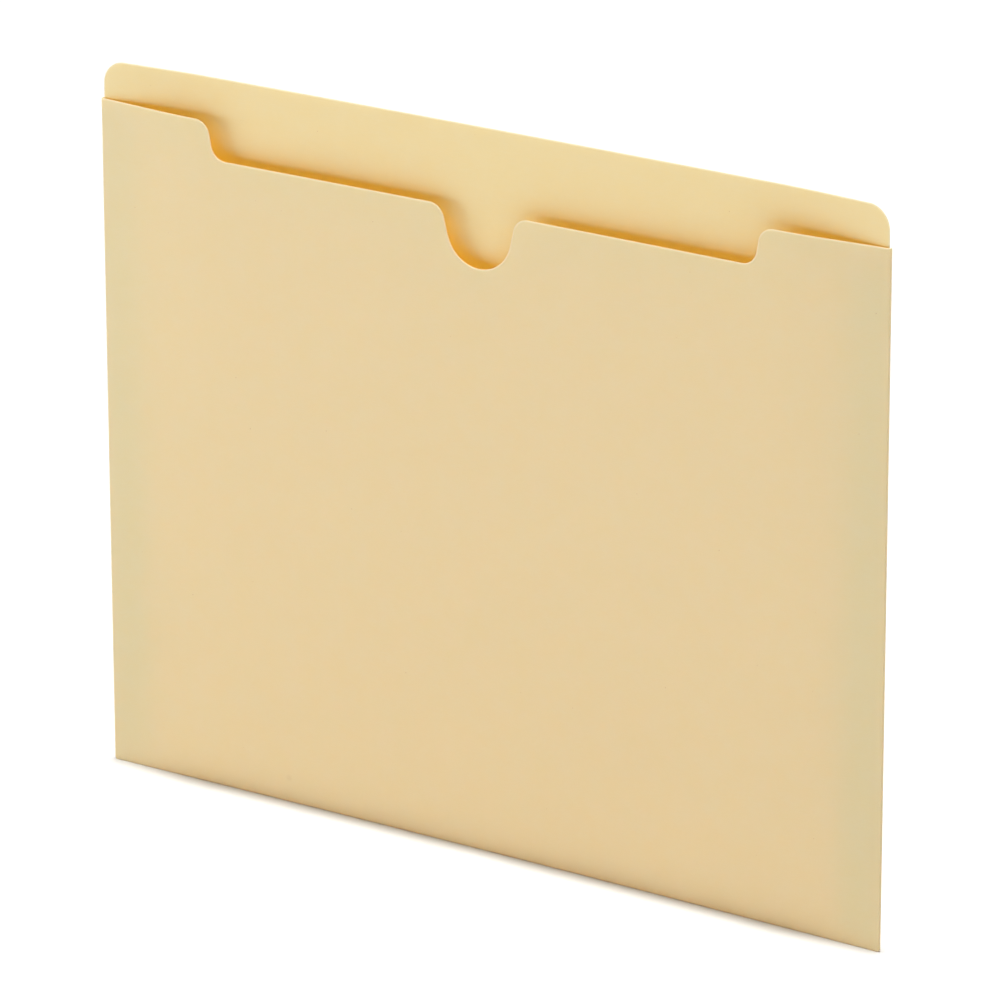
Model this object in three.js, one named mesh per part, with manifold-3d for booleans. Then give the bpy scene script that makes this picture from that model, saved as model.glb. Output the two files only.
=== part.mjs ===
// A flat file jacket of manila card, for letter-size papers: one die-cut sheet folded up
// at the bottom, with the front's two side flaps folded round the back panel and glued
// to it. The card is drawn as the faces and folds that it is creased into.
// Millimetres, +Z up. The front faces -Y, and the jacket stands on its bottom fold, whose
// lowest strip is centred on the origin.
import * as THREE from 'three';
import { mergeVertices } from 'three/addons/utils/BufferGeometryUtils.js';
import Module from 'manifold-3d';

// The card and the whole jacket
const cardThickness = 0.28;
const jacketWidth = 298.45;
const jacketHeight = 241.3;
const closedGap = 0.3; // between front and back when the jacket is pressed flat
const mouthGap = 5.6; // between front and back in the middle of the mouth, at rest

// The back panel and its straight-cut tab
const tabInset = 0.9; // from the outside of a side fold to the tab's side edge
const tabCornerRadius = 7.6;

// The front's top edge: shoulders, a long notch and a thumb cut
const shoulderDrop = 12.7; // below the tab's top edge
const notchDrop = 12.7; // below the shoulders
const thumbDrop = 19.05; // below the notch
const shoulderLength = 40; // from the outside of a side fold
const notchFilletRadius = 5.5;
const notchLean = THREE.MathUtils.degToRad(10);
const thumbRadius = 12.2;
const thumbFilletRadius = 5.5;
const thumbLean = THREE.MathUtils.degToRad(14);

// The glue flaps on the back, and the glue that holds them
const flapWidth = 16;
const flapTaper = 5; // how much shorter each end is at the flap's inner edge
const flapEndMargin = 1.2;
const glueThickness = 0.1;
const glueWidth = 9;
const glueMargin = 8; // from the flap's ends to the ends of the glue line

// Where the front bends beside each seam as the mouth opens
const flexReach = 60; // of a bend line's top end, from the outside of a side fold
const bendGap = 0.3; // running gap between two faces of card along a bend
const seamGap = 0.3; // running gap beside a side fold
const cornerGap = 0.4; // die-cut relief between the bottom fold and a side fold

const cutterDepth = 2; // of what parts the front sheet along a bend line

const foldFacets = 9; // odd, so that the bottom fold ends in a level strip
const arcSegments = 14;

const cardColour = 0xe8d3a4;
const foldColour = 0xe0c68f;
const glueColour = 0xd9c79a;

// Places that follow from the sizes
const halfWidth = jacketWidth / 2;
const shoulderHeight = jacketHeight - shoulderDrop;
const notchHeight = shoulderHeight - notchDrop;
const thumbHeight = notchHeight - thumbDrop;
const backInsideY = closedGap / 2;
const backOutsideY = backInsideY + cardThickness;
const frontInsideY = -closedGap / 2;
const frontOutsideY = frontInsideY - cardThickness;
const flapInsideY = backOutsideY + glueThickness;

const bottomFoldRadius = closedGap / 2 + cardThickness;
const bottomFoldTop = bottomFoldRadius * Math.cos(Math.PI / (2 * foldFacets));
const sideFoldInnerRadius = (flapInsideY - frontInsideY) / 2;
const sideFoldRadius = sideFoldInnerRadius + cardThickness;
const sideFoldY = (flapInsideY + frontInsideY) / 2;
const sideFoldX = halfWidth - sideFoldRadius;
const sideFoldBottom = bottomFoldTop + cornerGap;
const backHalfWidth = halfWidth - tabInset;

const hingeY = frontInsideY - cardThickness / 2;
const hingeZ = bottomFoldTop;
const restTilt = Math.atan((mouthGap - closedGap) / (notchHeight - hingeZ));

const card = { color: cardColour, roughness: 0.85, metalness: 0 };
const creasedCard = { color: foldColour, roughness: 0.85, metalness: 0 };
const driedGlue = { color: glueColour, roughness: 0.5, metalness: 0 };

const wasm = await Module();
wasm.setup();

function toSolid(geometry) {
  const bare = geometry.clone();
  bare.deleteAttribute('normal');
  bare.deleteAttribute('uv');
  const merged = mergeVertices(bare);
  const mesh = new wasm.Mesh({
    numProp: 3,
    vertProperties: merged.attributes.position.array,
    triVerts: Uint32Array.from(merged.index.array),
  });
  return new wasm.Manifold(mesh);
}

function toGeometry(solid) {
  const mesh = solid.getMesh();
  const geometry = new THREE.BufferGeometry();
  geometry.setAttribute('position', new THREE.BufferAttribute(mesh.vertProperties, 3));
  geometry.setIndex(new THREE.BufferAttribute(mesh.triVerts, 1));
  geometry.computeVertexNormals();
  return geometry;
}

function namedMesh(name, geometry, finish) {
  const mesh = new THREE.Mesh(geometry, new THREE.MeshStandardMaterial(finish));
  mesh.name = name;
  return mesh;
}

// An outline drawn in X and Z, given a thickness that ends at nearY towards the front.
function uprightPlate(outline, thickness, nearY) {
  const options = { depth: thickness, bevelEnabled: false, curveSegments: arcSegments };
  const geometry = new THREE.ExtrudeGeometry(outline, options);
  geometry.rotateX(Math.PI / 2);
  geometry.translate(0, nearY + thickness, 0);
  return geometry;
}

// Half a ring below the line between its two ends, centred on its own origin.
function foldSection(outerRadius) {
  const section = new THREE.Shape();
  for (let i = 0; i <= foldFacets; i += 1) {
    const angle = Math.PI + (Math.PI * i) / foldFacets;
    const x = outerRadius * Math.cos(angle);
    const y = outerRadius * Math.sin(angle);
    if (i === 0) {
      section.moveTo(x, y);
    } else {
      section.lineTo(x, y);
    }
  }
  const innerRadius = outerRadius - cardThickness;
  for (let i = foldFacets; i >= 0; i -= 1) {
    const angle = Math.PI + (Math.PI * i) / foldFacets;
    section.lineTo(innerRadius * Math.cos(angle), innerRadius * Math.sin(angle));
  }
  section.closePath();
  return section;
}

function backPanel() {
  const outline = new THREE.Shape();
  const cornerX = backHalfWidth - tabCornerRadius;
  const cornerZ = jacketHeight - tabCornerRadius;
  outline.moveTo(-backHalfWidth, bottomFoldTop);
  outline.lineTo(backHalfWidth, bottomFoldTop);
  outline.absarc(cornerX, cornerZ, tabCornerRadius, 0, Math.PI / 2, false);
  outline.absarc(-cornerX, cornerZ, tabCornerRadius, Math.PI / 2, Math.PI, false);
  outline.closePath();
  return namedMesh('back_panel', uprightPlate(outline, cardThickness, backInsideY), card);
}

function bottomFold() {
  const options = { depth: 2 * backHalfWidth, bevelEnabled: false };
  const geometry = new THREE.ExtrudeGeometry(foldSection(bottomFoldRadius), options);
  geometry.translate(0, 0, -backHalfWidth);
  const alongX = new THREE.Matrix4().makeBasis(
    new THREE.Vector3(0, 1, 0),
    new THREE.Vector3(0, 0, 1),
    new THREE.Vector3(1, 0, 0),
  );
  geometry.applyMatrix4(alongX);
  geometry.translate(0, 0, bottomFoldTop);
  return namedMesh('bottom_fold', geometry, creasedCard);
}

// A side fold wraps the back panel's cut edge; side is -1 on the left and 1 on the right.
function sideFold(name, side) {
  const options = { depth: shoulderHeight - sideFoldBottom, bevelEnabled: false };
  const geometry = new THREE.ExtrudeGeometry(foldSection(sideFoldRadius), options);
  geometry.rotateZ((side * Math.PI) / 2);
  geometry.translate(side * sideFoldX, sideFoldY, sideFoldBottom);
  return namedMesh(name, geometry, creasedCard);
}

function glueFlap(name, side) {
  const low = sideFoldBottom + flapEndMargin;
  const high = shoulderHeight - flapEndMargin;
  const outerX = side * sideFoldX;
  const innerX = side * (halfWidth - flapWidth);
  const outline = new THREE.Shape();
  outline.moveTo(outerX, low);
  outline.lineTo(innerX, low + flapTaper);
  outline.lineTo(innerX, high - flapTaper);
  outline.lineTo(outerX, high);
  outline.closePath();
  return namedMesh(name, uprightPlate(outline, cardThickness, flapInsideY), card);
}

function glueLine(name, side) {
  const low = sideFoldBottom + flapEndMargin + glueMargin;
  const high = shoulderHeight - flapEndMargin - glueMargin;
  const nearCentreX = side * (halfWidth - flapWidth + (flapWidth - sideFoldRadius - glueWidth) / 2);
  const nearSideX = nearCentreX + side * glueWidth;
  const outline = new THREE.Shape();
  outline.moveTo(nearCentreX, low);
  outline.lineTo(nearSideX, low);
  outline.lineTo(nearSideX, high);
  outline.lineTo(nearCentreX, high);
  outline.closePath();
  return namedMesh(name, uprightPlate(outline, glueThickness, backOutsideY), driedGlue);
}

// Half of the front's top edge. Both of its steps go down by a rounded corner, a leaning
// wall and a second arc, so one rule places the corner's centre beside that arc's.
function cornerOffset(cornerRadius, arcRadius, lean, drop) {
  const rise = drop - (cornerRadius + arcRadius) * (1 - Math.sin(lean));
  return (cornerRadius + arcRadius) * Math.cos(lean) + rise * Math.tan(lean);
}

function frontOutline() {
  const sideX = sideFoldX - seamGap;
  const lowZ = hingeZ + bendGap;
  const shoulderX = halfWidth - shoulderLength;
  const shoulderFilletZ = shoulderHeight - notchFilletRadius;
  const notchStep = cornerOffset(notchFilletRadius, notchFilletRadius, notchLean, notchDrop);
  const notchX = shoulderX - notchStep;
  const notchFilletZ = notchHeight + notchFilletRadius;
  const thumbX = cornerOffset(thumbFilletRadius, thumbRadius, thumbLean, thumbDrop);
  const thumbFilletZ = notchHeight - thumbFilletRadius;
  const thumbZ = thumbHeight + thumbRadius;
  const quarter = Math.PI / 2;
  const half = Math.PI;

  const outline = new THREE.Shape();
  outline.moveTo(-sideX, lowZ);
  outline.lineTo(sideX, lowZ);
  outline.lineTo(sideX, shoulderHeight);
  outline.absarc(shoulderX, shoulderFilletZ, notchFilletRadius, quarter, half - notchLean, false);
  outline.absarc(notchX, notchFilletZ, notchFilletRadius, -notchLean, -quarter, true);
  outline.absarc(thumbX, thumbFilletZ, thumbFilletRadius, quarter, half - thumbLean, false);
  outline.absarc(0, thumbZ, thumbRadius, -thumbLean, thumbLean - half, true);
  outline.absarc(-thumbX, thumbFilletZ, thumbFilletRadius, thumbLean, quarter, false);
  outline.absarc(-notchX, notchFilletZ, notchFilletRadius, -quarter, notchLean - half, true);
  outline.absarc(-shoulderX, shoulderFilletZ, notchFilletRadius, notchLean, quarter, false);
  outline.lineTo(-sideX, shoulderHeight);
  outline.closePath();
  return outline;
}

// The bend line beside a seam, from the bottom corner up to the front's top edge.
function bendLine(side) {
  const low = new THREE.Vector3(side * sideFoldX, hingeY, hingeZ);
  const high = new THREE.Vector3(side * (halfWidth - flexReach), hingeY, shoulderHeight);
  return { low, high };
}

// Everything on the seam's side of a bend line, out to a given distance past the line.
function beyondBend(side, past) {
  const { low, high } = bendLine(side);
  const slope = (high.x - low.x) / (high.z - low.z);
  const shift = side * past * Math.hypot(1, slope);
  const bottomZ = low.z - jacketHeight;
  const topZ = high.z + jacketHeight;
  const farX = side * jacketWidth;
  const outline = new THREE.Shape();
  outline.moveTo(low.x + shift + slope * (bottomZ - low.z), bottomZ);
  outline.lineTo(farX, bottomZ);
  outline.lineTo(farX, topZ);
  outline.lineTo(low.x + shift + slope * (topZ - low.z), topZ);
  outline.closePath();
  return toSolid(uprightPlate(outline, cutterDepth, hingeY - cutterDepth / 2));
}

// The front swings from the bottom fold, and its two outer faces turn back to the seams
// along the bend lines. Turning each by this many times the front's tilt keeps its outer
// edge on the seam.
function bendRatio() {
  const { low, high } = bendLine(1);
  return low.distanceTo(high) / Math.abs(high.x - low.x);
}

function frontPanels() {
  const sheet = toSolid(uprightPlate(frontOutline(), cardThickness, frontOutsideY));
  const hinge = new THREE.Vector3(0, hingeY, hingeZ);
  const front = new THREE.Group();
  front.position.copy(hinge);
  front.rotation.x = restTilt;

  let centre = sheet;
  for (const [name, side] of [['front_panel_left', -1], ['front_panel_right', 1]]) {
    centre = centre.subtract(beyondBend(side, -bendGap / 2));
    const { low, high } = bendLine(side);
    const faceGeometry = toGeometry(sheet.intersect(beyondBend(side, bendGap / 2)));
    faceGeometry.translate(-low.x, -low.y, -low.z);
    const turned = new THREE.Group();
    turned.position.copy(low).sub(hinge);
    const axis = high.clone().sub(low).normalize();
    turned.quaternion.setFromAxisAngle(axis, side * bendRatio() * restTilt);
    turned.add(namedMesh(name, faceGeometry, card));
    front.add(turned);
  }
  const centreGeometry = toGeometry(centre);
  centreGeometry.translate(-hinge.x, -hinge.y, -hinge.z);
  front.add(namedMesh('front_panel_centre', centreGeometry, card));
  return front;
}

const jacket = new THREE.Group();
jacket.add(backPanel());
jacket.add(bottomFold());
for (const [word, side] of [['left', -1], ['right', 1]]) {
  jacket.add(sideFold(`${word}_side_fold`, side));
  jacket.add(glueFlap(`${word}_glue_flap`, side));
  jacket.add(glueLine(`${word}_glue_line`, side));
}
jacket.add(frontPanels());

export default jacket;
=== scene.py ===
import math

import bpy
import numpy as np
from mathutils import Matrix, Vector
from mathutils.geometry import delaunay_2d_cdt


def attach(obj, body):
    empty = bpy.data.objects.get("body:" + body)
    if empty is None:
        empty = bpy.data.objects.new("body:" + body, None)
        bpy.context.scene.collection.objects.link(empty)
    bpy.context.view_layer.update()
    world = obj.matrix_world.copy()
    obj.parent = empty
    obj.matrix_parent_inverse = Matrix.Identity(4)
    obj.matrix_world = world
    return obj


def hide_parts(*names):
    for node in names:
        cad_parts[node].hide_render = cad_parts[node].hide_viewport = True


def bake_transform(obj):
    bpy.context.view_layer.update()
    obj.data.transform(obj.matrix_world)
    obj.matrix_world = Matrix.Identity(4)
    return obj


# The front faces -Y, and sizes are in millimetres up to the point where a mesh is made.

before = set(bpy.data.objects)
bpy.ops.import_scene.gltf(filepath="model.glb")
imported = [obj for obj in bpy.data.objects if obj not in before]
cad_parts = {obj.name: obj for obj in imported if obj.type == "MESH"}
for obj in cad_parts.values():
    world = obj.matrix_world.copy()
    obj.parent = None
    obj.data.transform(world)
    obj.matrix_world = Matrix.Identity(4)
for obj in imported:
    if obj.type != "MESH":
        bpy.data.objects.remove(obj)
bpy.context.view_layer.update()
print("frame loaded:", len(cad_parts), "nodes")

mm = 0.001

jacket = {
    "width": 298.45,
    "height": 241.3,       # to the top of the tab
    "thickness": 0.28,     # 11-point card
    "closedGap": 0.3,      # between front and back when pressed flat
    "shoulder": 228.6,     # the top of the front, and of the seams
    "seam": 148.605,       # from the middle to where the side folds begin
    "foldTop": 0.4235,     # where the bottom fold ends and the flat card begins
    "bottomArc": 1.35,     # how much of the flat sheet the bottom fold takes up
    "restBow": 1.34,       # how far the whole jacket bows, its middle away from the reader
    "backBulge": 2.2,      # how far the mouth pushes the back out, at the tab's top
    "frontBulge": 3.72,    # and the front, at the same height
    "bendReach": 42,       # from a seam to where the front and the back have stopped bending
}

halfWidth = jacket["width"] / 2
backInside = jacket["closedGap"] / 2
backOutside = backInside + jacket["thickness"]
frontInside = -backInside
frontOutside = -backOutside


# Where the flat card lies once it is folded.
def bowAt(x):
    return jacket["restBow"] * (1 - (2 * x / jacket["width"]) ** 2)


def bulgeAt(x, z):
    inward = np.clip((halfWidth - np.abs(x)) / jacket["bendReach"], 0, 1)
    curve = inward**2 * (3 - 2 * inward) + inward * (1 - inward) ** 2
    return np.clip(z / jacket["height"], 0, None) * curve  # the mouth opens in proportion to height


def backLies(x, z):
    return bowAt(x) + jacket["backBulge"] * bulgeAt(x, z)


def frontLies(x, z):
    return bowAt(x) - jacket["frontBulge"] * bulgeAt(x, z)


# The die-cut outlines are drawn in X and Z.
def arcPoints(centreX, centreZ, radius, fromDegrees, toDegrees, step=0.7):
    sweep = math.radians(toDegrees - fromDegrees)
    count = max(2, math.ceil(abs(sweep) * radius / step))
    angles = math.radians(fromDegrees) + sweep * np.arange(count + 1) / count
    return [(centreX + radius * math.cos(a), centreZ + radius * math.sin(a)) for a in angles]


# An outline's corners come with a letter for the edge that follows: "c" is a cut edge, and
# "j" a place where the card goes on into a fold or the other half.
def spaced(corners, step=3.0):
    points, cuts = [], []
    for i, (x, z, kind) in enumerate(corners):
        nextX, nextZ, _ = corners[(i + 1) % len(corners)]
        count = max(1, math.ceil(math.hypot(nextX - x, nextZ - z) / step))
        for k in range(count):
            points.append((x + (nextX - x) * k / count, z + (nextZ - z) * k / count))
            cuts.append(kind == "c")
    return np.array(points), np.array(cuts)


# Moves the cut edges of an outline inwards, and leaves the joined ones.
def insetPoints(points, cuts, amount):
    ahead = np.roll(points, -1, axis=0) - points
    inwardNext = np.stack([-ahead[:, 1], ahead[:, 0]], -1) / np.hypot(*ahead.T)[:, None]
    inwardLast = np.roll(inwardNext, 1, axis=0)
    depthNext = np.where(cuts, amount, 0.0)
    depthLast = np.roll(depthNext, 1)
    cross = inwardLast[:, 0] * inwardNext[:, 1] - inwardLast[:, 1] * inwardNext[:, 0]
    straight = np.abs(cross) < 1e-4
    safe = np.where(straight, 1.0, cross)
    moveX = (depthLast * inwardNext[:, 1] - depthNext * inwardLast[:, 1]) / safe
    moveZ = (depthNext * inwardLast[:, 0] - depthLast * inwardNext[:, 0]) / safe
    plain = inwardNext * np.maximum(depthNext, depthLast)[:, None]
    moved = np.where(straight[:, None], plain, np.stack([moveX, moveZ], -1))
    return points + moved


def insideOf(polygon, points, margin):
    x, z = points[:, 0][:, None], points[:, 1][:, None]
    startX, startZ = polygon[:, 0][None], polygon[:, 1][None]
    endX, endZ = np.roll(polygon[:, 0], -1)[None], np.roll(polygon[:, 1], -1)[None]
    crosses = (startZ > z) != (endZ > z)
    slope = np.where(endZ == startZ, 1, endZ - startZ)
    hits = crosses & (x < (endX - startX) * (z - startZ) / slope + startX)
    alongX, alongZ = endX - startX, endZ - startZ
    share = ((x - startX) * alongX + (z - startZ) * alongZ) / (alongX**2 + alongZ**2)
    share = np.clip(share, 0, 1)
    away = np.hypot(x - startX - share * alongX, z - startZ - share * alongZ).min(1)
    return (hits.sum(1) % 2 == 1) & (away > margin)


# A mesh object from its points, with what the card's material reads from it.
def meshPiece(name, places, faces, flat, cutEdge, crease, material, sharpDegrees=38):
    mesh = bpy.data.meshes.new(name)
    mesh.from_pydata((np.array(places) * mm).tolist(), [], faces)
    mesh.update()
    # The card's own drawing, so that its fibres bend with it and run on across a fold.
    flatPlace = mesh.attributes.new("cardPlace", "FLOAT_VECTOR", "POINT")
    flatPlace.data.foreach_set("vector", (np.array(flat) * mm).astype(np.float32).ravel())
    for label, values in (("cutEdge", cutEdge), ("crease", crease)):
        made = mesh.attributes.new(label, "FLOAT", "POINT")
        made.data.foreach_set("value", np.array(values, np.float32))
    mesh.shade_smooth()
    mesh.set_sharp_from_angle(angle=math.radians(sharpDegrees))
    mesh.materials.append(material)
    piece = bpy.data.objects.new(name, mesh)
    bpy.context.scene.collection.objects.link(piece)
    return piece


dieCut = {
    "supportInset": 0.9,   # where the face is quite flat again
    "rimInset": 0.55,      # how far in the steel rule has pressed the card
    "burrInset": 0.25,
    "rimDrop": 0.03,
    "edgeDrop": 0.09,      # how far the very edge is rolled down
    "gridMargin": 1.3,     # from the outline to the first points on the face
}


# A flat or gently bent sheet of card from its outline.
def cardSheet(name, corners, lies, nearY, farY, drawn, material, gridX=4.0, gridZ=6.0):
    points, cuts = spaced(corners)
    support = insetPoints(points, cuts, dieCut["supportInset"])
    low, high = support.min(0), support.max(0)
    xs = np.arange(math.floor(low[0] / gridX), math.ceil(high[0] / gridX) + 1) * gridX
    zs = np.arange(math.floor(low[1] / gridZ), math.ceil(high[1] / gridZ) + 1) * gridZ
    grid = np.stack(np.meshgrid(xs, zs), -1).reshape(-1, 2)
    grid = grid[insideOf(support, grid, dieCut["gridMargin"])]
    count = len(points)
    given = [Vector(p) for p in np.concatenate([support, grid])]
    found, _, triangles, _, _, _ = delaunay_2d_cdt(given, [], [list(range(count))], 1, 1e-5)
    if len(found) != len(given):
        raise RuntimeError(f"{name}: the outline's points ran together")
    onFace = np.array([tuple(p) for p in found])
    order = [int(np.argmin(np.hypot(*(onFace - p).T))) for p in support]

    layers = [(onFace, 0.0, 0.0)]
    # The last two rings carry the pale rim: the pressed edge, and a painted highlight along it.
    for inset, drop, paleRimHighlight in (
        (dieCut["rimInset"], 0.0, 0.0),
        (dieCut["burrInset"], dieCut["rimDrop"], 1.0),
        (0.0, dieCut["edgeDrop"], 1.0),
    ):
        layers.append((insetPoints(points, cuts, inset), drop, paleRimHighlight))
    isCut = (cuts | np.roll(cuts, 1)).astype(float)

    places, flat, cutEdge, faces = [], [], [], []
    starts = {}
    for side, y, towards in (("near", nearY, 1), ("far", farY, -1)):
        for k, (pts, drop, paleRimHighlight) in enumerate(layers):
            starts[side, k] = len(places)
            lowered = drop * isCut if k else 0.0
            depth = np.full(len(pts), y) + towards * lowered
            shift = lies(pts[:, 0], pts[:, 1])
            places += list(zip(pts[:, 0], depth + shift, pts[:, 1]))
            flat += [drawn(x, z, d) for x, z, d in zip(pts[:, 0], pts[:, 1], depth)]
            cutEdge += list(paleRimHighlight * isCut) if k else [0.0] * len(pts)
    for side in ("near", "far"):
        first = starts[side, 0]
        for t in triangles:
            a, b, c = (first + i for i in t)
            faces.append((a, b, c) if side == "near" else (a, c, b))
        rings = [[first + i for i in order]]
        rings += [list(range(starts[side, k], starts[side, k] + count)) for k in (1, 2, 3)]
        for inner, outer in zip(rings, rings[1:]):
            for i in np.flatnonzero(cuts):
                j = (i + 1) % count
                quad = (inner[i], outer[i], outer[j], inner[j])
                faces.append(quad if side == "near" else quad[::-1])
    near, far = starts["near", 3], starts["far", 3]
    for i in np.flatnonzero(cuts):
        j = (i + 1) % count
        faces.append((near + i, far + i, far + j, near + j))
    return meshPiece(name, places, faces, flat, cutEdge, [0.0] * len(places), material)


# A fold of card: at each station along it, half a ring with an inside and an outside.
def foldStrip(name, stations, place, drawn, ends, material, turns=18):
    angles = np.linspace(-90, 90, turns + 1)
    places, flat, cutEdge, crease, faces = [], [], [], [], []
    for s, station in enumerate(stations):
        for isInner in (0, 1):
            for angle in angles:
                places.append(place(station, angle, isInner))
                flat.append(drawn(station, angle, isInner))
                # The cut ends take the pale rim, with its painted highlight.
                cutEdge.append(ends[s])
                crease.append(math.cos(math.radians(angle)) ** 2)
    across = turns + 1
    perStation = 2 * across
    for s in range(len(stations) - 1):
        here, there = s * perStation, (s + 1) * perStation
        for k in range(turns):
            faces.append((here + k, here + k + 1, there + k + 1, there + k))
            inHere, inThere = here + across + k, there + across + k
            faces.append((inHere, inThere, inThere + 1, inHere + 1))
    for s, flip in ((0, False), (len(stations) - 1, True)):
        here = s * perStation
        for k in range(turns):
            quad = (here + k, here + across + k, here + across + k + 1, here + k + 1)
            faces.append(quad[::-1] if flip else quad)
    piece = meshPiece(name, places, faces, flat, cutEdge, crease, material)
    outwards(piece)
    return piece


# Turns the faces outwards if the mesh was built with its inside out.
def outwards(piece):
    mesh = piece.data
    volume = 0.0
    for polygon in mesh.polygons:
        a, b, *rest = (mesh.vertices[i].co for i in polygon.vertices)
        for c in rest:
            volume += a.dot(b.cross(c))
            b = c
    if volume < 0:
        mesh.flip_normals()


# Colours are written in sRGB and turned linear here.
def linear(hexColour):
    channels = [int(hexColour[i:i + 2], 16) / 255 for i in (0, 2, 4)]
    return [c / 12.92 if c <= 0.04045 else ((c + 0.055) / 1.055) ** 2.4 for c in channels] + [1]


def addNode(tree, kind, settings=None, **inputs):
    node = tree.nodes.new(kind)
    for key, value in (settings or {}).items():
        setattr(node, key, value)
    for key, value in inputs.items():
        socket = node.inputs[int(key[1:])] if key[1:].isdigit() else node.inputs[key.replace("_", " ")]
        if isinstance(value, bpy.types.NodeSocket):
            tree.links.new(value, socket)
        else:
            socket.default_value = value
    return node


def newMaterial(name):
    material = bpy.data.materials.new(name)
    material.use_nodes = True
    material.node_tree.nodes.clear()
    return material, material.node_tree


manila = {
    "pale": "fdffd9",         # paler than the card looks, as much of the light goes through
    "deep": "fdfdd0",
    "through": "ffd34a",      # what the card lets through is warmer than what it sends back
    "translucency": 0.26,
    "roughness": 0.88,
    "finishSpread": 0.04,     # how much the roughness wanders with the clouds
    "cloudMm": 9,
    "fibreMm": 0.36,          # real fibres are 0.03 mm wide; drawn coarser so that they show
    "fibreLength": 7,         # times their width
    "fibreSlant": 0.7,        # of the second lot of fibres, in radians
    "speck": "a9844e",
    "speckEveryMm": 5,
    "speckMm": 0.22,
    "toothMm": 0.3,
    "toothDeepMm": 0.01,
    "cockleMm": 46,
    "cockleDeepMm": 0.4,
    # The pale rim colour is partly the pressed edge and partly a painted highlight.
    "paleRimHighlight": "fff8dc",          # the pressed die-cut edges
    "rimThrough": "fff3cf",
    "rubbed": "fffae6",       # the folds' crests
    "rubMm": 1.6,
    "rubStrength": 0.7,
    "smudge": "b9a778",
    "smudgeAt": (-77.9, 8.3, 0.43),
    "smudgeMm": 1.5,
    "smudgeStrength": 0.1,
}


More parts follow.
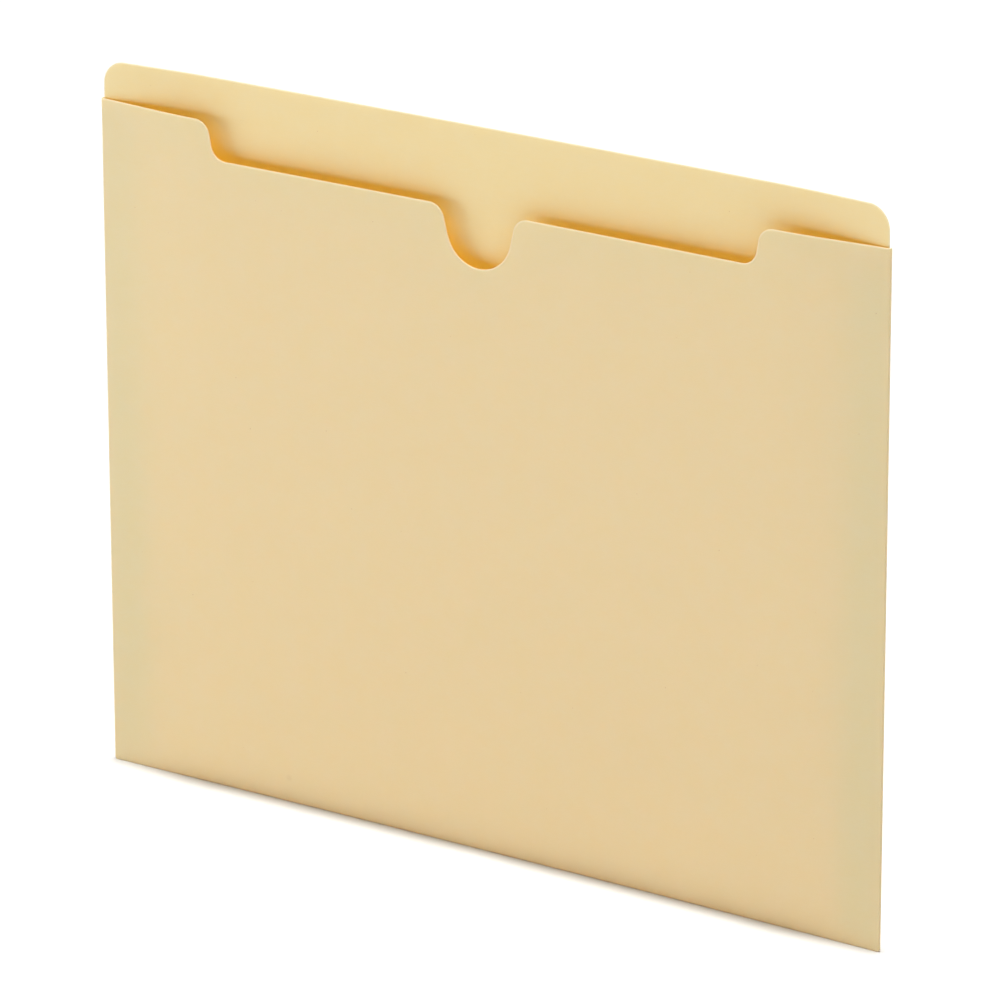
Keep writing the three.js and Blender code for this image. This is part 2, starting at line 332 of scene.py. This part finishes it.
# Uncoated manila card, calendered on the paper machine: a dull face with soft clouds,
# short fibres that mostly run one way, a few bark specks, and a warm glow in the fold.
def manilaCard():
    material, tree = newMaterial("manilaCardUncoated")
    place = addNode(tree, "ShaderNodeAttribute", {"attribute_name": "cardPlace"}).outputs["Vector"]
    clouds = addNode(tree, "ShaderNodeTexNoise", Vector=place, Scale=1000 / manila["cloudMm"],
                     Detail=3.0, Roughness=0.55)
    stretch = (1 / manila["fibreLength"], 1, 1)
    along = addNode(tree, "ShaderNodeMapping", Vector=place, Scale=stretch)
    aslant = addNode(tree, "ShaderNodeMapping", Vector=place,
                     Rotation=(0, 0, manila["fibreSlant"]), Scale=stretch)
    fibres = addNode(tree, "ShaderNodeTexNoise", Vector=along.outputs[0],
                     Scale=1000 / manila["fibreMm"], Detail=1.0, Roughness=0.5)
    slanted = addNode(tree, "ShaderNodeTexNoise", Vector=aslant.outputs[0],
                      Scale=1000 / manila["fibreMm"], Detail=1.0, Roughness=0.5)
    fibreTone = addNode(tree, "ShaderNodeMath", {"operation": "ADD"},
                        _0=fibres.outputs[0], _1=slanted.outputs[0])
    tone = addNode(tree, "ShaderNodeMath", {"operation": "MULTIPLY_ADD"},
                   _0=fibreTone.outputs[0], _1=0.5, _2=clouds.outputs[0])
    toneShare = addNode(tree, "ShaderNodeMapRange", Value=tone.outputs[0], From_Min=0.72, From_Max=1.28)
    body = addNode(tree, "ShaderNodeMix", {"data_type": "RGBA"}, Factor=toneShare.outputs[0],
                   _6=linear(manila["deep"]), _7=linear(manila["pale"]))

    specks = addNode(tree, "ShaderNodeTexVoronoi", Vector=place, Scale=1000 / manila["speckEveryMm"])
    speckReach = manila["speckMm"] / manila["speckEveryMm"]
    speckShare = addNode(tree, "ShaderNodeMapRange", Value=specks.outputs["Distance"],
                         From_Min=speckReach, From_Max=speckReach * 0.4)
    speckPick = addNode(tree, "ShaderNodeSeparateColor", Color=specks.outputs["Color"])
    speckStrength = addNode(tree, "ShaderNodeMapRange", Value=speckPick.outputs[0],
                            From_Min=0.55, From_Max=1.0, To_Max=0.55)  # under half of them show
    speckFactor = addNode(tree, "ShaderNodeMath", {"operation": "MULTIPLY"},
                          _0=speckShare.outputs[0], _1=speckStrength.outputs[0])
    specked = addNode(tree, "ShaderNodeMix", {"data_type": "RGBA"}, Factor=speckFactor.outputs[0],
                      _6=body.outputs[2], _7=linear(manila["speck"]))

    # One dull fingertip smudge, low on the left of the front.
    apart = addNode(tree, "ShaderNodeVectorMath", {"operation": "DISTANCE"},
                    _0=place, _1=[v * mm for v in manila["smudgeAt"]])
    dull = addNode(tree, "ShaderNodeMapRange", {"interpolation_type": "SMOOTHSTEP"},
                   Value=apart.outputs["Value"], From_Min=manila["smudgeMm"] * mm,
                   From_Max=manila["smudgeMm"] * mm / 3, To_Max=manila["smudgeStrength"])
    marked = addNode(tree, "ShaderNodeMix", {"data_type": "RGBA"}, Factor=dull.outputs[0],
                     _6=specked.outputs[2], _7=linear(manila["smudge"]))

    # The folds' crests are rubbed, in patches: their fibres have parted and show paler.
    crest = addNode(tree, "ShaderNodeAttribute", {"attribute_name": "crease"}).outputs["Fac"]
    rubbed = addNode(tree, "ShaderNodeTexNoise", Vector=along.outputs[0],
                     Scale=1000 / manila["rubMm"], Detail=3.0, Roughness=0.65)
    patches = addNode(tree, "ShaderNodeMapRange", Value=rubbed.outputs[0],
                      From_Min=0.42, From_Max=0.66, To_Max=manila["rubStrength"])
    wear = addNode(tree, "ShaderNodeMath", {"operation": "MULTIPLY"}, _0=crest, _1=patches.outputs[0])
    worn = addNode(tree, "ShaderNodeMix", {"data_type": "RGBA"}, Factor=wear.outputs[0],
                   _6=marked.outputs[2], _7=linear(manila["rubbed"]))

    # The die-cut edges are pressed thin and show paler; the pale band is also a painted highlight along
    # the edges.
    paleRimHighlight = addNode(tree, "ShaderNodeAttribute", {"attribute_name": "cutEdge"}).outputs["Fac"]
    faceWithRimHighlight = addNode(tree, "ShaderNodeMix", {"data_type": "RGBA"}, Factor=paleRimHighlight,
                   _6=worn.outputs[2], _7=linear(manila["paleRimHighlight"])).outputs[2]

    tooth = addNode(tree, "ShaderNodeTexNoise", Vector=place, Scale=1000 / manila["toothMm"], Detail=2.0)
    cockle = addNode(tree, "ShaderNodeTexNoise", Vector=place, Scale=1000 / manila["cockleMm"], Detail=1.0)
    wavy = addNode(tree, "ShaderNodeBump", Height=cockle.outputs[0],
                   Distance=manila["cockleDeepMm"] * mm, Strength=1.0)
    bumped = addNode(tree, "ShaderNodeBump", Height=tooth.outputs[0],
                     Distance=manila["toothDeepMm"] * mm, Strength=1.0, Normal=wavy.outputs[0])

    finish = addNode(tree, "ShaderNodeMapRange", Value=clouds.outputs[0], From_Min=0.3, From_Max=0.7,
                     To_Min=manila["roughness"] - manila["finishSpread"],
                     To_Max=manila["roughness"] + manila["finishSpread"])
    sheet = addNode(tree, "ShaderNodeBsdfPrincipled", Base_Color=faceWithRimHighlight, Roughness=finish.outputs[0],
                    IOR=1.5, Specular_IOR_Level=0.2, Normal=bumped.outputs[0])
    passed = addNode(tree, "ShaderNodeMix", {"data_type": "RGBA"}, Factor=paleRimHighlight,
                     _6=linear(manila["through"]), _7=linear(manila["rimThrough"]))
    lit = addNode(tree, "ShaderNodeBsdfTranslucent", Color=passed.outputs[2], Normal=bumped.outputs[0])
    both = addNode(tree, "ShaderNodeMixShader", _0=manila["translucency"],
                   _1=sheet.outputs[0], _2=lit.outputs[0])
    addNode(tree, "ShaderNodeOutputMaterial", Surface=both.outputs[0])
    return material


glue = {
    "colour": "fff0c8",
    "amber": "ffe9ba",        # what it lets through
    "clearness": 0.6,
    "roughness": 0.32,
    "rippleMm": 2.5,
    "rippleDeepMm": 0.05,
}


# Cold paper glue, rolled on and dried: a thin amber film, glossier than the card, that
# lets most of the light on.
def driedGlue():
    material, tree = newMaterial("driedPaperGlue")
    place = addNode(tree, "ShaderNodeAttribute", {"attribute_name": "cardPlace"}).outputs["Vector"]
    ripple = addNode(tree, "ShaderNodeTexNoise", Vector=place, Scale=1000 / glue["rippleMm"], Detail=2.0)
    bumped = addNode(tree, "ShaderNodeBump", Height=ripple.outputs[0],
                     Distance=glue["rippleDeepMm"] * mm, Strength=1.0)
    film = addNode(tree, "ShaderNodeBsdfPrincipled", Base_Color=linear(glue["colour"]),
                   Roughness=glue["roughness"], IOR=1.48, Normal=bumped.outputs[0])
    lit = addNode(tree, "ShaderNodeBsdfTranslucent", Color=linear(glue["amber"]), Normal=bumped.outputs[0])
    both = addNode(tree, "ShaderNodeMixShader", _0=glue["clearness"],
                   _1=film.outputs[0], _2=lit.outputs[0])
    addNode(tree, "ShaderNodeOutputMaterial", Surface=both.outputs[0])
    return material


card = manilaCard()
glueFilm = driedGlue()
print("materials made")

# The back panel and its tab.

backPanel = {
    "tabInset": 0.9,       # from the outside of a seam
    "cornerRadius": 7.6,
}


def withKind(points, kind="c"):
    return [(x, z, kind) for x, z in points]


def backCorners():
    side = halfWidth - backPanel["tabInset"]
    radius = backPanel["cornerRadius"]
    top = jacket["height"]
    corners = [(-side, jacket["foldTop"], "j"), (side, jacket["foldTop"], "c")]
    corners += withKind(arcPoints(side - radius, top - radius, radius, 0, 90))
    corners += withKind(arcPoints(-side + radius, top - radius, radius, 90, 180))
    return corners


def backDrawn(x, z, depth):
    return (x, -z - jacket["bottomArc"], depth)  # the back is below the front on the flat sheet


backSheet = cardSheet("back_sheet", backCorners(), backLies,
                      backInside, backOutside, backDrawn, card)
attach(backSheet, "back")
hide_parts("back_panel")
print("back panel:", len(backSheet.data.polygons), "faces")

# The front panel: shoulders, a long notch and a thumb cut.

frontPanel = {
    "notch": 215.9,            # the level of its long edge
    "thumb": 196.85,           # the lowest point of the thumb cut
    "shoulderLength": 40,
    "fillet": 5.5,
    "notchLean": 10,           # degrees from upright
    "thumbRadius": 12.2,
    "thumbLean": 14,
}


# How far sideways a leaning step reaches, between the centres of its two arcs.
def stepOffset(cornerRadius, arcRadius, leanDegrees, drop):
    lean = math.radians(leanDegrees)
    rise = drop - (cornerRadius + arcRadius) * (1 - math.sin(lean))
    return (cornerRadius + arcRadius) * math.cos(lean) + rise * math.tan(lean)


def frontCorners(side):
    f = frontPanel
    fillet, seam, top = f["fillet"], jacket["seam"], jacket["shoulder"]
    shoulderX = halfWidth - f["shoulderLength"]
    notchX = shoulderX - stepOffset(fillet, fillet, f["notchLean"], top - f["notch"])
    thumbX = stepOffset(fillet, f["thumbRadius"], f["thumbLean"], f["notch"] - f["thumb"])
    corners = [(0, jacket["foldTop"], "j"), (seam, jacket["foldTop"], "j"), (seam, top, "c")]
    corners += withKind(arcPoints(shoulderX, top - fillet, fillet, 90, 180 - f["notchLean"]))
    corners += withKind(arcPoints(notchX, f["notch"] + fillet, fillet, -f["notchLean"], -90))
    corners += withKind(arcPoints(thumbX, f["notch"] - fillet, fillet, 90, 180 - f["thumbLean"]))
    thumb = arcPoints(0, f["thumb"] + f["thumbRadius"], f["thumbRadius"], -f["thumbLean"], -90)
    corners += withKind(thumb[:-1]) + [(0, f["thumb"], "j")]
    if side > 0:
        return corners
    # Mirrored, so the order turns round, and each edge keeps its kind.
    kinds = [kind for _, _, kind in corners]
    turned = [(-x, z) for x, z, _ in corners][::-1]
    kinds = kinds[:-1][::-1] + [kinds[-1]]
    return [(x, z, kind) for (x, z), kind in zip(turned, kinds)]


def frontDrawn(x, z, depth):
    return (x, z, -depth)


for word, side, nodes in (
    ("left", -1, ("front_panel_left", "front_panel_centre")),
    ("right", 1, ("front_panel_right", "front_panel_centre")),
):
    half = cardSheet(f"front_sheet_{word}", frontCorners(side), frontLies,
                     frontOutside, frontInside, frontDrawn, card)
    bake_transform(half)
    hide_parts(*nodes)
    print(f"front panel, {word} half:", len(half.data.polygons), "faces")

# The folds.

bottomFold = {
    "outerRadius": 0.43,
    "innerRadius": 0.15,
    "halfLength": 148.6,
    "spans": 100,          # along its length
}


def bottomPlace(x, angle, isInner):
    radius = bottomFold["innerRadius"] if isInner else bottomFold["outerRadius"]
    turn = math.radians(angle)
    top = jacket["foldTop"]
    y, z = radius * math.sin(turn), top - radius * math.cos(turn) * top / bottomFold["outerRadius"]
    lies = frontLies if angle < 0 else backLies
    return (x, y + float(lies(x, top)), z)


# On the flat sheet, the two faces of the card lie this deep.
def drawnDepth(isInner):
    return bottomFold["innerRadius"] if isInner else bottomFold["outerRadius"]


def bottomDrawn(x, angle, isInner):
    return (x, -jacket["bottomArc"] * (angle + 90) / 180, drawnDepth(isInner))


# The stations stand close together at a fold's cut ends.
def stationsAlong(low, high, spans):
    stations = [low, low + 0.5] + list(np.linspace(low + 3, high - 3, spans)) + [high - 0.5, high]
    return stations, [1.0] + [0.0] * (len(stations) - 2) + [1.0]


stations, ends = stationsAlong(-bottomFold["halfLength"], bottomFold["halfLength"], bottomFold["spans"])
crease = foldStrip("bottom_crease", stations, bottomPlace, bottomDrawn, ends, card)
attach(crease, "back")
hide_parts("bottom_fold")

sideFold = {
    "outerRadius": 0.62,
    "innerRadius": 0.34,
    "centreY": 0.19,
    "low": 0.5,
    "spans": 78,
}

glueFlap = {
    "width": 16,
    "taper": 5,            # how much shorter each end is at the flap's inner edge
    "endMargin": 1.2,
    "glueThickness": 0.1,
    "glueFrom": 136.415,   # the glue line's two sides, from the middle of the jacket
    "glueTo": 145.415,
    "glueLow": 10.5,
    "glueHigh": 219.0,
    "glueStep": 2.2,
    "glueWander": 0.12,    # how far the rolled edge strays from one step to the next
    "glueStray": 0.7,      # and at most
    "glueSeed": 7,
}
flapInside = backOutside + glueFlap["glueThickness"]
flapOutside = flapInside + jacket["thickness"]
sideArc = math.pi * (sideFold["outerRadius"] + sideFold["innerRadius"]) / 2

for word, side in (("left", -1), ("right", 1)):

    def sidePlace(z, angle, isInner, side=side):
        radius = sideFold["innerRadius"] if isInner else sideFold["outerRadius"]
        turn = math.radians(angle)
        x = side * (jacket["seam"] + radius * math.cos(turn))
        lies = frontLies if angle < 0 else backLies
        return (x, sideFold["centreY"] + radius * math.sin(turn) + float(lies(np.array(x), z)), z)

    def sideDrawn(z, angle, isInner, side=side):
        return (side * (jacket["seam"] + sideArc * (angle + 90) / 180), z, drawnDepth(isInner))

    low, high = sideFold["low"], jacket["shoulder"]
    stations, ends = stationsAlong(low, high, sideFold["spans"])
    crease = foldStrip(f"side_crease_{word}", stations, sidePlace, sideDrawn, ends, card)
    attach(crease, "back")
    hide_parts(f"{word}_side_fold")

    # The flap behind it, which is glued to the back panel.
    outerX, innerX = jacket["seam"], halfWidth - glueFlap["width"]
    flapLow, flapHigh = low + glueFlap["endMargin"], high - glueFlap["endMargin"]
    outline = [
        (outerX, flapLow, "j"),
        (outerX, flapHigh, "c"),
        (innerX, flapHigh - glueFlap["taper"], "c"),
        (innerX, flapLow + glueFlap["taper"], "c"),
    ]
    if side < 0:
        outline = [(-outline[i][0], outline[i][1], outline[i - 1][2]) for i in (0, 3, 2, 1)]

    def flapDrawn(x, z, depth, side=side):
        return (side * (outerX + sideArc + outerX - abs(x)), z, depth - glueFlap["glueThickness"])

    flap = cardSheet(f"glue_flap_{word}", outline, backLies, flapInside, flapOutside, flapDrawn, card)
    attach(flap, "back")
    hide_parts(f"{word}_glue_flap")

    # And its line of dried glue, whose rolled edges wander a little.
    rng = np.random.default_rng(glueFlap["glueSeed"] + side)
    zs = np.arange(glueFlap["glueLow"], glueFlap["glueHigh"], glueFlap["glueStep"])
    wander = np.cumsum(rng.normal(0, glueFlap["glueWander"], (2, len(zs))), axis=1)
    wander -= wander.mean(1, keepdims=True)
    wander = np.clip(wander, -glueFlap["glueStray"], glueFlap["glueStray"])
    bead = [(glueFlap["glueTo"] + w, z, "c") for w, z in zip(wander[0], zs)]
    bead += [(glueFlap["glueFrom"] + w, z, "c") for w, z in zip(wander[1], zs)][::-1]
    if side < 0:
        bead = [(-x, z, kind) for x, z, kind in bead][::-1]
    film = cardSheet(f"glue_line_{word}", bead, backLies,
                     backOutside, flapInside, flapDrawn, glueFilm)
    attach(film, "back")
    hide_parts(f"{word}_glue_line")
print("folds, flaps and glue made")

# The camera: the photograph's angle, through a long lens.

view = {
    "azimuth": 34.395,       # degrees round to the reader's right
    "elevation": 19.029,
    "roll": -0.106,
    "distance": 2223.7,
    "target": (6.44, 0, 121.1),
    "pictureWidth": 1000,    # pixels
    "focalPixels": 7032,
    "sensor": 36,
    "clipNear": 0.05,        # metres
    "clipFar": 50,
}
azimuth, elevation, roll = (math.radians(view[k]) for k in ("azimuth", "elevation", "roll"))
forward = math.cos(elevation)
back = Vector((math.sin(azimuth) * forward, -math.cos(azimuth) * forward, math.sin(elevation)))
level = Vector((math.cos(azimuth), math.sin(azimuth), 0))
upright = back.cross(level)
right = math.cos(roll) * level + math.sin(roll) * upright
up = -math.sin(roll) * level + math.cos(roll) * upright
cameraData = bpy.data.cameras.new("camera")
cameraData.sensor_width = view["sensor"]
cameraData.lens = view["focalPixels"] * view["sensor"] / view["pictureWidth"]
cameraData.clip_start, cameraData.clip_end = view["clipNear"], view["clipFar"]
camera = bpy.data.objects.new("camera", cameraData)
bpy.context.scene.collection.objects.link(camera)
turn = Matrix((right, up, back)).transposed().to_4x4()
place = (Vector(view["target"]) + back * view["distance"]) * mm
camera.matrix_world = Matrix.Translation(place) @ turn
bpy.context.scene.camera = camera

# The studio: a pale sweep lit from straight above, which sends its light up both faces, a
# wide low softbox on the reader's left, and a weak one behind.

studio = {
    "floorColour": "f4f4f2",   # what the sweep sends back to the card
    "floorSeen": "e2e2e1",     # shows as plain white under the lamp
    "overheadStrength": 4.26,
    "overheadAngle": 3,        # degrees across
    "roomStrength": 0.02,
    # The sweep's light is painted dimmer close to the jacket, as painted shade.
    "paintedShadeLevel": 0.76,         # of the sweep's light, right at the jacket
    "paintedShadeReach": 0.5,          # metres
    "sweepReach": 12,
    "sweepDrop": 0.02,         # millimetres under the fold, so that the faces don't share a plane
    "bounces": 16,             # light goes to and fro in the narrow mouth
    "allBounces": 20,
}
softboxes = {
    "leftSoftbox": {
        "power": 5.4, "place": (-1.2, -1.15, 0.15), "aim": (0, 0, 0.15), "wide": 1.0, "tall": 0.3,
    },
    "rearSoftbox": {
        "power": 3.2, "place": (0.4, 1.2, 0.3), "aim": (0, 0, 0.15), "wide": 1.0, "tall": 0.4,
    },
}


# One for the eye, for reflections and through a clear thing, and nothing for other light.
def shownTo(tree):
    path = addNode(tree, "ShaderNodeLightPath")
    seen = addNode(tree, "ShaderNodeMath", {"operation": "MAXIMUM"},
                   _0=path.outputs["Is Camera Ray"], _1=path.outputs["Is Glossy Ray"])
    shown = addNode(tree, "ShaderNodeMath", {"operation": "MAXIMUM"},
                    _0=seen.outputs[0], _1=path.outputs["Is Transmission Ray"])
    return shown.outputs[0]


# Matt white paper. What it sends back to the card is painted a little dimmer close by, a painted shade for
# where the jacket keeps some of the lamps' light off it; to the eye it is one plain white.
def sweepPaper():
    material, tree = newMaterial("mattSweepPaper")
    spot = addNode(tree, "ShaderNodeNewGeometry")
    away = addNode(tree, "ShaderNodeVectorMath", {"operation": "LENGTH"}, _0=spot.outputs["Position"])
    # Painted shade: dimmer towards the jacket.
    level = addNode(tree, "ShaderNodeMapRange", {"interpolation_type": "SMOOTHSTEP"},
                    Value=away.outputs["Value"], From_Max=studio["paintedShadeReach"], To_Min=studio["paintedShadeLevel"])
    sentWithPaintedShade = addNode(tree, "ShaderNodeMix", {"data_type": "RGBA"}, Factor=level.outputs[0],
                   _6=(0, 0, 0, 1), _7=linear(studio["floorColour"]))
    colour = addNode(tree, "ShaderNodeMix", {"data_type": "RGBA"}, Factor=shownTo(tree),
                     _6=sentWithPaintedShade.outputs[2], _7=linear(studio["floorSeen"]))
    matt = addNode(tree, "ShaderNodeBsdfDiffuse", Color=colour.outputs[2])
    addNode(tree, "ShaderNodeOutputMaterial", Surface=matt.outputs[0])
    return material


floorMesh = bpy.data.meshes.new("sweep")
reach = studio["sweepReach"]
sweepCorners = [(-reach, -reach, 0), (reach, -reach, 0), (reach, reach, 0), (-reach, reach, 0)]
floorMesh.from_pydata(sweepCorners, [], [(0, 1, 2, 3)])
floorMesh.materials.append(sweepPaper())
floor = bpy.data.objects.new("sweep", floorMesh)
floor.location.z = -studio["sweepDrop"] * mm
bpy.context.scene.collection.objects.link(floor)

# The room is dim to the card, and plain white to the eye and in reflections.
world = bpy.data.worlds.new("room")
bpy.context.scene.world = world
world.use_nodes = True
world.node_tree.nodes.clear()
tree = world.node_tree
room = addNode(tree, "ShaderNodeBackground", Color=(1, 1, 1, 1), Strength=studio["roomStrength"])
white = addNode(tree, "ShaderNodeBackground", Color=(1, 1, 1, 1), Strength=1.0)
mixed = addNode(tree, "ShaderNodeMixShader", _0=shownTo(tree), _1=room.outputs[0], _2=white.outputs[0])
addNode(tree, "ShaderNodeOutputWorld", Surface=mixed.outputs[0])

overheadData = bpy.data.lights.new("overhead", "SUN")
overheadData.energy = studio["overheadStrength"]
overheadData.angle = math.radians(studio["overheadAngle"])
overhead = bpy.data.objects.new("overhead", overheadData)
bpy.context.scene.collection.objects.link(overhead)

for name, box in softboxes.items():
    lampData = bpy.data.lights.new(name, "AREA")
    lampData.shape = "RECTANGLE"
    lampData.size, lampData.size_y = box["wide"], box["tall"]
    lampData.energy = box["power"]
    lamp = bpy.data.objects.new(name, lampData)
    lamp.location = box["place"]
    towards = Vector(box["aim"]) - lamp.location
    lamp.rotation_euler = towards.to_track_quat("-Z", "Y").to_euler()
    lamp.visible_camera = False  # they stand close, and would show from some sides
    bpy.context.scene.collection.objects.link(lamp)

cycles = bpy.context.scene.cycles
cycles.diffuse_bounces = cycles.transmission_bounces = studio["bounces"]
cycles.max_bounces = studio["allBounces"]
bpy.context.scene.view_settings.view_transform = "Standard"
print("camera and studio made")
